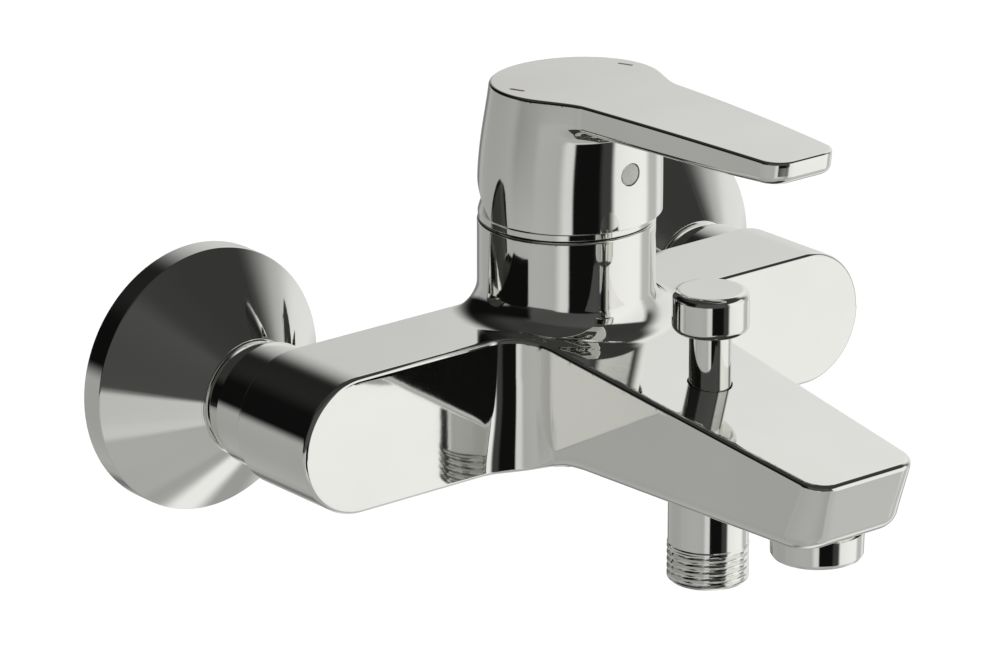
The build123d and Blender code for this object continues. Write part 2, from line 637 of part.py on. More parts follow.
with BuildPart() as lever_handle:
    for height, radius, shift in SKIRT:
        with BuildSketch(Plane.XY.offset(height)):
            with Locations((0, COLUMN_Y - shift)):
                Circle(radius)
    loft()
    add(lever_plate.part)
    # hollow inside, with a square boss for the stem
    add(lever_cavity.part, mode=Mode.SUBTRACT)
    roof = HEAD_Z - ROOF
    block((-BOSS_HALF, COLUMN_Y - BOSS_HALF, BOSS_Z), (BOSS_HALF, COLUMN_Y + BOSS_HALF, roof))
    block((-WEB_HALF, COLUMN_Y - HEAD_RADIUS, WEB_Z), (WEB_HALF, COLUMN_Y - STEM_HALF, roof))
    stem_low = (-STEM_HALF, COLUMN_Y - STEM_HALF, BOSS_Z)
    block(stem_low, (STEM_HALF, COLUMN_Y + STEM_HALF, STEM_TOP), Mode.SUBTRACT)
    # sloping cut under the back of the skirt
    rim_z, rim_radius, rim_shift = SKIRT[0]
    with BuildSketch(Plane.YZ.offset(-CENTRES)):
        start, reach = COLUMN_Y + RELIEF_Y, 2 * rim_radius
        climb = reach * tan(radians(RELIEF_ANGLE))
        Polygon((start, rim_z), (start + reach, rim_z + climb), (start + reach, 0), (start, 0), align=None)
    extrude(amount=2 * CENTRES, mode=Mode.SUBTRACT)
    # grub screw's hole from the front, with the plug's seat at its mouth
    grub_depth = COLUMN_Y - STEM_HALF - GRUB_FRONT
    rod((0, GRUB_FRONT, GRUB_Z), (0, 1, 0), GRUB_RADIUS, grub_depth, Mode.SUBTRACT)
    rod((0, GRUB_FRONT, GRUB_Z), (0, 1, 0), PLUG_RADIUS, grub_depth - GRUB_LENGTH, Mode.SUBTRACT)
    # grooves for the two temperature marks
    for x, y in MARKS:
        with BuildSketch(HEAD):
            with Locations((x, y)):
                Rectangle(MARK_LENGTH, MARK_WIDTH)
        extrude(amount=-MARK_DEPTH, mode=Mode.SUBTRACT)
pieces["lever_handle"] = lever_handle

with BuildPart() as grub_screw:
    rod((0, COLUMN_Y - STEM_HALF, GRUB_Z), (0, -1, 0), GRUB_RADIUS, GRUB_LENGTH)
    # hexagon socket
    with BuildSketch(Plane(origin=(0, COLUMN_Y - STEM_HALF - GRUB_LENGTH, GRUB_Z), z_dir=(0, 1, 0))):
        RegularPolygon(SOCKET_RADIUS, 6)
    extrude(amount=SOCKET_DEPTH, mode=Mode.SUBTRACT)
pieces["grub_screw"] = grub_screw

with BuildPart() as lever_plug:
    rod((0, PLUG_FRONT, GRUB_Z), (0, 1, 0), PLUG_RADIUS, PLUG_SHEET)
pieces["lever_plug"] = lever_plug

for (x, y), colour in zip(MARKS, ("hot", "cold")):
    with BuildPart() as mark:
        with BuildSketch(HEAD.offset(-MARK_DEPTH)):
            with Locations((x, y)):
                Rectangle(MARK_LENGTH, MARK_WIDTH)
        extrude(amount=MARK_DEPTH)
    pieces[colour + "_mark"] = mark

# ---------------------------------------------------------------- diverter
with BuildPart() as diverter_knob:
    turned(DIVERTER_Y, (0, KNOB_Z), (KNOB_RADIUS, KNOB_Z), (KNOB_RADIUS, KNOB_TOP), (0, KNOB_TOP))
    fillet(diverter_knob.edges().filter_by(GeomType.CIRCLE), KNOB_ROUND)
    rod((0, DIVERTER_Y, KNOB_Z), (0, 0, 1), ROD_TENON, TENON_LENGTH, Mode.SUBTRACT)
pieces["diverter_knob"] = diverter_knob

with BuildPart() as diverter_rod:
    turned(
        DIVERTER_Y,
        (0, KNOB_Z + TENON_LENGTH),
        (ROD_TENON, KNOB_Z + TENON_LENGTH),
        (ROD_TENON, KNOB_Z),
        (ROD_RADIUS, KNOB_Z),
        (ROD_RADIUS, BUSH_Z - TRAVEL - PLAY),
        (ROD_TENON, BUSH_Z - TRAVEL - PLAY),
        (ROD_TENON, PISTON_FOOT),
        (0, PISTON_FOOT),
    )
pieces["diverter_rod"] = diverter_rod

with BuildPart() as diverter_bush:
    bore = ROD_RADIUS + FIT
    turned(
        DIVERTER_Y,
        (bore, BUSH_Z),
        (CHAMBER_RADIUS, BUSH_Z),
        (CHAMBER_RADIUS, BUSH_TOP),
        (bore + 2 * RING_WIRE, BUSH_TOP),
        (bore + 2 * RING_WIRE, BUSH_TOP - 2 * RING_WIRE),
        (bore, BUSH_TOP - 2 * RING_WIRE),
    )
pieces["diverter_bush"] = diverter_bush

with BuildPart() as rod_seal:
    with Locations((0, DIVERTER_Y, BUSH_TOP - RING_WIRE)):
        Torus(ROD_RADIUS + FIT + RING_WIRE, RING_WIRE)
pieces["rod_seal"] = rod_seal

with BuildPart() as diverter_spring:
    low, high = PISTON_TOP + SPRING_GAP, BUSH_Z - SPRING_GAP
    spring(DIVERTER_Y, SPRING_RADIUS, SPRING_WIRE, low, high, SPRING_TURNS)
pieces["diverter_spring"] = diverter_spring

with BuildPart() as diverter_piston:
    turned(
        DIVERTER_Y,
        (ROD_TENON, PISTON_FOOT),
        (PISTON_RADIUS, PISTON_FOOT),
        (PISTON_RADIUS, PISTON_FOOT + PISTON_RIM),
        (PISTON_RADIUS - PISTON_GROOVE, PISTON_FOOT + PISTON_RIM),
        (PISTON_RADIUS - PISTON_GROOVE, PISTON_TOP - PISTON_RIM),
        (PISTON_RADIUS, PISTON_TOP - PISTON_RIM),
        (PISTON_RADIUS, PISTON_TOP),
        (ROD_TENON, PISTON_TOP),
    )
pieces["diverter_piston"] = diverter_piston

with BuildPart() as piston_ring:
    inner, outer = PISTON_RADIUS - PISTON_GROOVE, CHAMBER_RADIUS - FIT
    low, high = PISTON_FOOT + PISTON_RIM, PISTON_TOP - PISTON_RIM
    turned(DIVERTER_Y, (inner, low), (outer, low), (outer, high), (inner, high))
pieces["piston_ring"] = piston_ring

with BuildPart() as diverter_seat_seal:
    turned(DIVERTER_Y, (0, SEAT_Z), (SEAT_RADIUS, SEAT_Z), (SEAT_RADIUS, PISTON_FOOT), (0, PISTON_FOOT))
pieces["diverter_seat_seal"] = diverter_seat_seal

# ---------------------------------------------------------------- shower outlet
with BuildPart() as shower_outlet:
    thread = thread_rings(HALF_INCH, OUTLET_END + LEAD_IN, OUTLET_THREAD_Z)
    turned(
        DIVERTER_Y,
        (OUTLET_BORE, SEAT_Z),
        (CHAMBER_RADIUS - THREAD_FIT, SEAT_Z),
        (CHAMBER_RADIUS - THREAD_FIT, SPOUT_FLOOR - RING_GROOVE),
        (RING_SEAT, SPOUT_FLOOR - RING_GROOVE),
        (RING_SEAT, SPOUT_FLOOR),
        (OUTLET_NECK, SPOUT_FLOOR),
        (OUTLET_NECK, OUTLET_THREAD_Z),
        *reversed(thread),
        (HALF_INCH - LEAD_IN, OUTLET_END),
        (VALVE_BORE, OUTLET_END),
        (VALVE_BORE, VALVE_TOP),
        (OUTLET_BORE, VALVE_TOP),
    )
pieces["shower_outlet"] = shower_outlet

with BuildPart() as outlet_seal:
    low, high = SPOUT_FLOOR - RING_GROOVE, SPOUT_FLOOR
    turned(DIVERTER_Y, (CHAMBER_RADIUS, low), (RING_SEAT, low), (RING_SEAT, high), (CHAMBER_RADIUS, high))
pieces["outlet_seal"] = outlet_seal

with BuildPart() as check_valve_cage:
    turned(
        DIVERTER_Y,
        (CAGE_SEAT, VALVE_TOP),
        (VALVE_BORE, VALVE_TOP),
        (VALVE_BORE, CAGE_FOOT),
        (0, CAGE_FOOT),
        (0, CAGE_FOOT + SPIDER),
        (CAGE_BORE, CAGE_FOOT + SPIDER),
        (CAGE_BORE, POPPET_TOP),
        (CAGE_SEAT, POPPET_TOP),
    )
    # guide hole and four windows in the spider
    rod((0, DIVERTER_Y, CAGE_FOOT), (0, 0, 1), POPPET_STEM + FIT, SPIDER, Mode.SUBTRACT)
    with Locations((0, DIVERTER_Y, CAGE_FOOT + SPIDER / 2)):
        with PolarLocations(SPIDER_RING, 4):
            Cylinder(SPIDER_HOLE, SPIDER, mode=Mode.SUBTRACT)
pieces["check_valve_cage"] = check_valve_cage

with BuildPart() as check_valve_poppet:
    turned(
        DIVERTER_Y,
        (0, POPPET_TOP),
        (POPPET_RADIUS, POPPET_TOP),
        (POPPET_RADIUS, POPPET_FOOT),
        (POPPET_STEM, POPPET_FOOT),
        (POPPET_STEM, STEM_END),
        (0, STEM_END),
    )
pieces["check_valve_poppet"] = check_valve_poppet

with BuildPart() as check_valve_spring:
    low, high = CAGE_FOOT + SPIDER + SPRING_GAP, POPPET_FOOT - SPRING_GAP
    spring(DIVERTER_Y, VALVE_SPRING_RADIUS, VALVE_SPRING_WIRE, low, high, VALVE_SPRING_TURNS)
pieces["check_valve_spring"] = check_valve_spring

# ---------------------------------------------------------------- aerator
with BuildPart() as aerator_housing:
    turned(
        AERATOR_Y,
        (AERATOR_BORE, AERATOR_TOP),
        (AERATOR_THREAD, AERATOR_TOP),
        (AERATOR_THREAD, SPOUT_FLOOR),
        (AERATOR_SHELL, SPOUT_FLOOR),
        (AERATOR_SHELL - AERATOR_DRAFT, AERATOR_FOOT + AERATOR_ROUND),
        (AERATOR_SHELL - AERATOR_DRAFT - AERATOR_ROUND / 2, AERATOR_FOOT),
        (AERATOR_MOUTH, AERATOR_FOOT),
        (AERATOR_MOUTH, INSERT_FOOT),
        (AERATOR_BORE, INSERT_FOOT),
    )
pieces["aerator_housing"] = aerator_housing

with BuildPart() as aerator_insert:
    turned(
        AERATOR_Y,
        (0, INSERT_FOOT),
        (AERATOR_BORE, INSERT_FOOT),
        (AERATOR_BORE, STRAINER_FOOT),
        (0, STRAINER_FOOT),
    )
    with BuildSketch(Plane.XY.offset(INSERT_FOOT)):
        for ring_radius, count in JETS:
            with Locations((0, AERATOR_Y)):
                with PolarLocations(ring_radius, count):
                    Circle(JET_RADIUS)
    extrude(amount=STRAINER_FOOT - INSERT_FOOT, mode=Mode.SUBTRACT)
pieces["aerator_insert"] = aerator_insert

with BuildPart() as aerator_strainer:
    with BuildSketch(Plane.XY.offset(STRAINER_FOOT)):
        with Locations((0, AERATOR_Y)):
            Circle(AERATOR_BORE)
        for ring_radius, count in STRAINER_HOLES:
            with Locations((0, AERATOR_Y)):
                with PolarLocations(ring_radius, count):
                    Circle(STRAINER_HOLE, mode=Mode.SUBTRACT)
    extrude(amount=SCREEN_SHEET)
pieces["aerator_strainer"] = aerator_strainer

with BuildPart() as aerator_gasket:
    turned(
        AERATOR_Y,
        (GASKET_BORE, AERATOR_TOP),
        (AERATOR_THREAD, AERATOR_TOP),
        (AERATOR_THREAD, AERATOR_SEAT),
        (GASKET_BORE, AERATOR_SEAT),
    )
pieces["aerator_gasket"] = aerator_gasket

# ---------------------------------------------------------------- output
os.makedirs("parts", exist_ok=True)
for name, piece in pieces.items():
    finished = piece.part.moved(Location((0, 0, RISE)))
    finished.label = name
    export_step(finished, f"parts/{name}.step")
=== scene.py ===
"""Looks of the wall mounted bath and shower mixer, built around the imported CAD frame.

Lengths are millimetres about the inlet axis, as in the CAD, unless a line says otherwise: the wall is
the plane y = 0, -Y is the way the spout points and +Z is up. add_mesh turns every mesh into metres in
the row frame, whose origin lies RISE lower, between the supply pipes.
"""

import json
from math import cos, pi, radians, sin, tan

import bmesh
import bpy
import numpy as np
from mathutils import Matrix, Vector


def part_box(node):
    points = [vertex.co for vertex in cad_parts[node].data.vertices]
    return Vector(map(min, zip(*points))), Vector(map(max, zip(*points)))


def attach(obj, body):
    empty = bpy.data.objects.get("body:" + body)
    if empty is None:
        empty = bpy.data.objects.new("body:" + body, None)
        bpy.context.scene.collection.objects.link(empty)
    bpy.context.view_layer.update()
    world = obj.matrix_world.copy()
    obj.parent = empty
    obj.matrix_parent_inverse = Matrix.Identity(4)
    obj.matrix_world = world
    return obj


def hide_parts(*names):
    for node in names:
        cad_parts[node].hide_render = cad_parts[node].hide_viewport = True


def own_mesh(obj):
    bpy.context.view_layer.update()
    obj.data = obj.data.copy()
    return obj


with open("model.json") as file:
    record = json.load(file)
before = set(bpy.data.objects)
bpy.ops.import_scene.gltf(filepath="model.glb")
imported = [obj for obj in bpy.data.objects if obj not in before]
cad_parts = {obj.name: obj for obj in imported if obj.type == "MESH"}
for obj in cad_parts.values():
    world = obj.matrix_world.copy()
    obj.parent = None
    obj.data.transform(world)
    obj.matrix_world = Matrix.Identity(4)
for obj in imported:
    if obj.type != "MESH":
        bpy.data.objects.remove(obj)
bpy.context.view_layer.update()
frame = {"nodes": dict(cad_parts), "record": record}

MM = 0.001
RISE = 8.0  # from the supply pipes up to the inlet axis
HALF = 75.0  # from the middle to each inlet
COLUMN_Y = -60.1
DIVERTER_Y = -116.3
AERATOR_Y = -157.0
PLUG_Z = 59.4


# ---------------------------------------------------------------- distance field helpers
def length(a, b):
    return np.sqrt(a * a + b * b)


def union_round(a, b, r):
    """Two solids joined by a concave fillet of radius r."""
    return np.maximum(r, np.minimum(a, b)) - length(np.maximum(r - a, 0), np.maximum(r - b, 0))


def cut_round(a, b, r):
    """What two solids share, with its edge rounded to radius r."""
    return np.minimum(-r, np.maximum(a, b)) + length(np.maximum(r + a, 0), np.maximum(r + b, 0))


def step(low, high, value):
    """0 below low, 1 above high, smooth between."""
    t = np.clip((value - low) / (high - low), 0, 1)
    return t * t * (3 - 2 * t)


def box_field(x, y, z, low, high):
    return np.maximum.reduce(
        [low[0] - x, x - high[0], low[1] - y, y - high[1], low[2] - z, z - high[2]]
    )


def slope(field, points, reach=0.01):
    """The field's unit gradient at the points, and the gradient's length, by central differences."""
    grad = np.empty_like(points)
    for axis in range(3):
        shift = np.zeros(3)
        shift[axis] = reach
        grad[:, axis] = (field(points + shift) - field(points - shift)) / (2 * reach)
    size = np.maximum(np.linalg.norm(grad, axis=1), 1e-6)
    return grad / size[:, None], size


def onto(field, points, rounds=4, most=0.5):
    """Moves points along the gradient onto the field's zero surface."""
    for _ in range(rounds):
        normal, size = slope(field, points)
        points = points - normal * np.clip(field(points) / size, -most, most)[:, None]
    return points


BLOCK = 4  # cells along each side of a block in the first, coarse pass
BLOCK_REACH = 1.3  # a block is passed over when the surface is further off than this many of its sides


def lattice(*axes):
    """Every point whose coordinates come from the three given lists, one row each."""
    return np.stack(np.meshgrid(*axes, indexing="ij"), -1).reshape(-1, 3)


def contour(field, low, high, cell):
    """Quads round the field's zero surface, one corner in each cell that the surface crosses."""
    counts = [int((b - a) / cell) + 2 for a, b in zip(low, high)]
    # the field at the middle of each block of cells stands for the whole block
    starts = [np.arange(0, n, BLOCK) for n in counts]
    centre = [low[k] + cell * (starts[k] + (BLOCK - 1) / 2) for k in range(3)]
    near = field(lattice(*centre))
    value = near.reshape([len(start) for start in starts])
    for axis in range(3):
        value = np.repeat(value, BLOCK, axis)
    value = value[: counts[0], : counts[1], : counts[2]].copy()
    # and is worked out cell by cell in the blocks that the surface may cross
    close = lattice(*starts)[np.abs(near) < cell * BLOCK * BLOCK_REACH]
    index = (close[:, None, :] + lattice(*[np.arange(BLOCK)] * 3)[None]).reshape(-1, 3)
    index = index[(index < np.array(counts)).all(1)]
    value[tuple(index.T)] = field(np.array(low) + cell * index)

    # each crossed cell's corner is the mean of the crossings on its twelve edges
    inside = value < 0
    total = np.zeros([n - 1 for n in counts] + [3])
    crossings = np.zeros([n - 1 for n in counts])
    spans = [slice(None, -1), slice(1, None)]
    for axis in range(3):
        others = [k for k in range(3) if k != axis]
        for i in (0, 1):
            for j in (0, 1):
                a, b = [None] * 3, [None] * 3
                a[axis], b[axis] = spans[0], spans[1]
                for k, o in zip((i, j), others):
                    a[o] = b[o] = spans[k]
                va, vb = value[tuple(a)], value[tuple(b)]
                hit = (va < 0) != (vb < 0)
                t = np.where(hit, va / np.where(hit, va - vb, 1), 0)
                crossings += hit
                total[..., axis] += np.where(hit, t, 0)
                for k, o in zip((i, j), others):
                    total[..., o] += np.where(hit, k, 0)
    cells = np.argwhere(crossings > 0)
    crossed = tuple(cells.T)
    points = np.array(low) + cell * (cells + total[crossed] / crossings[crossed][:, None])
    number = np.full(crossings.shape, -1, np.int64)
    number[crossed] = np.arange(len(cells))

    # each edge that crosses the surface joins the corners of the four cells round it
    quads = []
    for axis in range(3):
        others = [k for k in range(3) if k != axis]
        a, b = [slice(1, -1)] * 3, [slice(1, -1)] * 3
        a[axis], b[axis] = slice(None, -1), slice(1, None)
        ia, ib = inside[tuple(a)], inside[tuple(b)]
        for flip, mask in ((False, ia & ~ib), (True, ~ia & ib)):
            shift = np.ones(3, int)
            shift[axis] = 0
            at = np.argwhere(mask) + shift
            ring = []
            for du, dv in ((-1, -1), (0, -1), (0, 0), (-1, 0)):
                c = at.copy()
                c[:, others[0]] += du
                c[:, others[1]] += dv
                ring.append(number[tuple(c.T)])
            ring = np.stack(ring, 1)
            if flip != (axis == 1):
                ring = ring[:, ::-1]
            quads.append(ring)
    return points, np.concatenate(quads)


def refine(field, points, tris, bend, shortest, rounds):
    """Splits the edges that are longer than shortest and over which the surface turns by more than bend,
    in radians, and puts the new points on the surface."""
    points = onto(field, points)
    normals = slope(field, points)[0]
    limit = cos(bend)
    for _ in range(rounds):
        edges = np.sort(np.concatenate([tris[:, [0, 1]], tris[:, [1, 2]], tris[:, [2, 0]]]), 1)
        unique, back = np.unique(edges, axis=0, return_inverse=True)
        back = back.reshape(3, -1).T
        turn = (normals[unique[:, 0]] * normals[unique[:, 1]]).sum(1)
        size = np.linalg.norm(points[unique[:, 0]] - points[unique[:, 1]], axis=1)
        split = (turn < limit) & (size > shortest)
        if not split.any():
            break
        middle = onto(field, points[unique[split]].mean(1), 3, 0.3)
        fresh = np.full(len(unique), -1)
        fresh[split] = len(points) + np.arange(split.sum())
        points = np.concatenate([points, middle])
        normals = np.concatenate([normals, slope(field, middle)[0]])
        mid = fresh[back]
        marks = (mid >= 0).sum(1)
        parts = [tris[marks == 0]]
        # each triangle's corners are turned round so that its split edges come first
        for count in (1, 2, 3):
            pick = marks == count
            t, m = tris[pick], mid[pick]
            if count == 1:
                first = np.argmax(m >= 0, 1)
            elif count == 2:
                first = (np.argmin(m >= 0, 1) + 1) % 3
            else:
                first = np.zeros(len(t), int)
            rows = np.arange(len(t))
            a, b, c = (t[rows, (first + k) % 3] for k in range(3))
            ab, bc, ca = (m[rows, (first + k) % 3] for k in range(3))
            if count == 1:
                parts += [np.stack([a, ab, c], 1), np.stack([ab, b, c], 1)]
            elif count == 2:
                parts += [np.stack([ab, b, bc], 1), np.stack([a, ab, bc], 1), np.stack([a, bc, c], 1)]
            else:
                parts += [
                    np.stack([a, ab, ca], 1),
                    np.stack([ab, b, bc], 1),
                    np.stack([ca, bc, c], 1),
                    np.stack([ab, bc, ca], 1),
                ]
        tris = np.concatenate(parts)
    return points, tris, normals


def place(points):
    """Millimetres about the inlet axis to metres in the row frame."""
    out = np.array(points, float)
    out[:, 2] += RISE
    return out * MM


def add_mesh(name, points, faces):
    mesh = bpy.data.meshes.new(name)
    mesh.from_pydata(place(points).tolist(), [], [list(map(int, f)) for f in faces])
    mesh.validate()
    mesh.update()
    obj = bpy.data.objects.new(name, mesh)
    bpy.context.scene.collection.objects.link(obj)
    return obj


def cast(name, field, low, high, cell, bend, shortest, rounds=4):
    """A closed mesh of the field's zero surface, finer where it bends, with the field's own normals."""
    points, quads = contour(field, low, high, cell)
    tris = np.concatenate([quads[:, [0, 1, 2]], quads[:, [0, 2, 3]]])
    points, tris, normals = refine(field, points, tris, bend, shortest, rounds)
    obj = add_mesh(name, points, tris)
    obj.data.normals_split_custom_set_from_vertices(normals.tolist())
    return obj


# ---------------------------------------------------------------- body
BAR_RADIUS = 18.1
BAR_BACK = -42.3
BAR_FRONT = -70.3
BACK_EDGE = 0.6  # rounding of the bar's edge round its back
SPOUT_TIP = -175.9
SPOUT_HALF = 23.3  # half the spout's width where it leaves the bar
SPOUT_TAPER = 0.05966  # half width lost per millimetre towards the tip
SIDE_SCALE = 0.9982  # the cosine of that slope, which keeps the field a distance
SPOUT_FALL = 0.1296  # slope of the spout's top
FALL_START = -70.4
FALL_BLEND = 3.8  # length over which the slope begins
SPOUT_FLOOR = 3.6  # how far the underside rises in front of the bar
TIP_LEAN = 0.275  # slope of the tip's front face, under TIP_BREAK
TIP_BREAK = 3.7
TIP_SCALE = 0.964  # the cosine of that slope
TOP_EDGE = 1.25
COLUMN_RADIUS = 23.0
COLUMN_TOP = 42.3
COLUMN_EDGE = 0.7
NO_FLARE = 0.02  # the round where the column has none, as union_round needs some


def body_field(points):
    x, y, z = np.abs(points[:, 0]), points[:, 1], points[:, 2]
    # seen from above: the bar's front face, the tapering spout, and the round between them
    side = (x - SPOUT_HALF - SPOUT_TAPER * (y - BAR_FRONT)) * SIDE_SCALE
    lean = np.maximum(TIP_BREAK - z, 0) * TIP_LEAN
    front = (SPOUT_TIP + lean - y) * TIP_SCALE
    spout = cut_round(side, front, 6.3 + 1.7 * step(-5, 12, -z))
    plan = union_round(BAR_FRONT - y, spout, 11.0 + 2.2 * step(-2, 18, -z))
    # seen from the front: a slot whose top falls and whose floor rises along the spout
    ahead = np.maximum(FALL_START - y, 0)
    begin = SPOUT_FALL / (2 * FALL_BLEND) * ahead**2
    drop = np.where(ahead < FALL_BLEND, begin, SPOUT_FALL * (ahead - FALL_BLEND / 2))
    rise = SPOUT_FLOOR * step(0, 16, BAR_FRONT - y)
    upper, lower = z + drop, rise - z
    height = length(np.maximum(x - HALF, 0), np.maximum(upper, lower)) - BAR_RADIUS
    # the lower edge is nearly as sharp as the upper one on the bar and rounder along the spout
    edge = np.where(upper > lower, TOP_EDGE, 1.0 + 3.6 * step(74, 92, -y))
    f = cut_round(plan, height, edge)
    f = cut_round(f, y - BAR_BACK, BACK_EDGE)
    # column, flaring where it stands on the bar and the spout, and least at the bar's back
    across = length(x, y - COLUMN_Y)
    column = cut_round(across - COLUMN_RADIUS, z - COLUMN_TOP, COLUMN_EDGE)
    column = np.maximum(column, -BAR_RADIUS - z)
    flare = NO_FLARE + step(-2, 8, z) * (1.0 + 6.0 * step(39, 45, -y))
    f = union_round(f, column, flare)
    # bores: each is a distance from its axis less its radius, and where it ends
    from_rod = length(x, y - DIVERTER_Y)
    from_aerator = length(x, y - AERATOR_Y)
    from_inlet = length(x - HALF, z)
    holes = [
        np.maximum(across - 17.44, 8.0 - z),  # cartridge
        np.maximum(across - 19.03, 36.0 - z),  # thread of its ring nut
        np.maximum(from_rod - 5.7, -z),  # rod
        np.maximum(from_rod - 8.6, z - 9.5),  # diverter chamber, open below
        np.maximum(from_aerator - 11.03, z + 3.0),
        np.maximum(from_inlet - 9.53, -52.0 - y),  # thread of the inlet's tail
        np.maximum(from_inlet - 6.5, -61.8 - y),  # inlet's water way
    ]
    return np.maximum(f, -np.minimum.reduce(holes))


body = cast(
    "body_casting", body_field, (-94.5, -177.3, -19.5), (94.5, -36.0, 43.6),
    cell=1.3, bend=0.19, shortest=0.15,
)

# ---------------------------------------------------------------- lever handle
SKIRT_Z = [45.0, 54.0, 60.0, 68.0, 79.5]
SKIRT_RADIUS = np.polyfit(SKIRT_Z, [23.8, 23.77, 23.55, 23.05, 22.25], 4)
SKIRT_SHIFT = np.polyfit(SKIRT_Z, [1.35, 1.4, 1.7, 2.5, 3.75], 4)  # its centre, forward of the column's axis
CAVE_Z = [44.9, 60.0, 74.0]
CAVE_RADIUS = [22.85, 21.3, 19.6]
CAVE_SHIFT = [0.9, 1.5, 3.0]
RIM_Z = 45.0
ARM_TIP = 92.0
RELIEF = radians(37)  # slope of the cut under the skirt's back
BOSS_TOP = 76.0
BOSS_HALF = 5.5
WEB_HALF = 4.5
STEM_HALF = 3.5


def crest(ahead):
    """Height of the handle's arched top, that far before the column's axis."""
    return 79.51 + 0.039 * ahead - 0.00033 * ahead**2


def lever_field(points):
    x, y, z = np.abs(points[:, 0]), points[:, 1], points[:, 2]
    ahead = COLUMN_Y - y
    level = np.clip(z, 44.0, 80.5)
    skirt = length(x, ahead - np.polyval(SKIRT_SHIFT, level)) - np.polyval(SKIRT_RADIUS, level)
    # arm: its bowed sides, its end, which leans in towards the bottom, and its underside
    width = 16.9 - 0.037 * ahead - 0.00037 * ahead**2
    arm = cut_round((x - width) * 0.996, ahead - ARM_TIP + 0.12 * (82.0 - z), 5.5)
    under = 72.9 + 0.0212 * (ahead - 26.0) - z
    arm = cut_round(arm, under, 1.6 + 0.8 * step(70, 90, ahead))
    arm = np.maximum(arm, -ahead)
    f = union_round(skirt, arm, 4.0)
    f = cut_round(f, (z - crest(ahead)) * 0.999, 0.8)
    # rim, and the sloping cut under the back
    f = cut_round(f, RIM_Z - z, 0.15)
    relief = (RIM_Z + (y - COLUMN_Y - 2.1) * tan(RELIEF) - z) * cos(RELIEF)
    f = cut_round(f, relief, 0.3)
    # hollow inside, with the stem's boss and the web from it to the plug; x is never under 0
    level = np.clip(z, CAVE_Z[0], CAVE_Z[-1])
    middle = np.interp(level, CAVE_Z, CAVE_SHIFT)
    cave = length(x, ahead - middle) - np.interp(level, CAVE_Z, CAVE_RADIUS)
    cave = cut_round(cave, z - CAVE_Z[-1], 2.0)
    boss = box_field(x, y, z, (-1, COLUMN_Y - BOSS_HALF, 57.0), (BOSS_HALF, COLUMN_Y + BOSS_HALF, BOSS_TOP))
    web = box_field(x, y, z, (-1, COLUMN_Y - 26.0, 55.0), (WEB_HALF, COLUMN_Y - STEM_HALF, BOSS_TOP))
    cave = np.maximum(cave, -np.minimum(boss, web))
    stem = box_field(x, y, z, (-1, COLUMN_Y - STEM_HALF, 50.0), (STEM_HALF, COLUMN_Y + STEM_HALF, 69.0))
    f = np.maximum(f, -np.minimum(cave, stem))
    # holes for the plug and, behind it, the grub screw
    from_plug = length(x, z - PLUG_Z)
    plug = np.maximum(from_plug - 3.0, y + 68.6)
    grub = np.maximum(from_plug - 2.5, y + 63.6)
    return np.maximum(f, -np.minimum(plug, grub))


lever = cast(
    "lever_casting", lever_field, (-25.5, -154.5, 43.2), (25.5, -35.0, 82.3),
    cell=0.68, bend=0.11, shortest=0.1,
)

# ---------------------------------------------------------------- turned pieces
GUARD = 0.12  # a ring this close to each corner keeps the shading of the flats apart from the corner's
ARC_STEP = radians(9)
STRAIGHT = 0.01  # a corner that turns by less than this is left as it is
THREAD_INSIDE = 8.0  # points nearer to the axis than this are in the bore and have no thread
THREAD_RINGS = 12  # rings of points in each pitch
THREAD_FLANK = 0.72  # share of the half pitch that the groove takes
THREAD_ROUND = 1.4  # 1 makes a V groove, and more makes its foot rounder


def rounded(corners, closed):
    """The (radius, height) points of a profile whose corners are (radius, height) or, where the corner is
    rounded, (radius, height, radius of the round)."""
    path = [np.array(c[:2], float) for c in corners]
    rounds = [c[2] if len(c) > 2 else 0.0 for c in corners]
    count, out = len(path), []
    for k in range(count):
        here = path[k]
        if not closed and k in (0, count - 1):
            out.append([here])
            continue
        before, after = path[k - 1] - here, path[(k + 1) % count] - here
        u, v = before / np.linalg.norm(before), after / np.linalg.norm(after)
        turn = pi - np.arccos(np.clip(u @ v, -1, 1))
        if rounds[k] == 0 or turn < STRAIGHT:
            out.append([here])
            continue
        reach = rounds[k] * tan(turn / 2)
        middle = here + (u + v) / np.linalg.norm(u + v) * rounds[k] / cos(turn / 2)
        start, end = here + u * reach - middle, here + v * reach - middle
        steps = max(3, int(turn / ARC_STEP))
        spread = sin(turn)
        arc = []
        for i in range(steps + 1):
            t = i / steps
            if spread > STRAIGHT:
                arc.append(middle + (start * sin((1 - t) * turn) + end * sin(t * turn)) / spread)
            else:
                arc.append(middle + start * (1 - t) + end * t)
        out.append(arc)
    points = []
    for k in range(count):
        points += out[k]
        if k == count - 1 and not closed:
            break
        a, b = out[k][-1], out[(k + 1) % count][0]
        gap = np.linalg.norm(b - a)
        if gap > 5 * GUARD:
            points += [a + (b - a) * GUARD / gap, b - (b - a) * GUARD / gap]
    return points


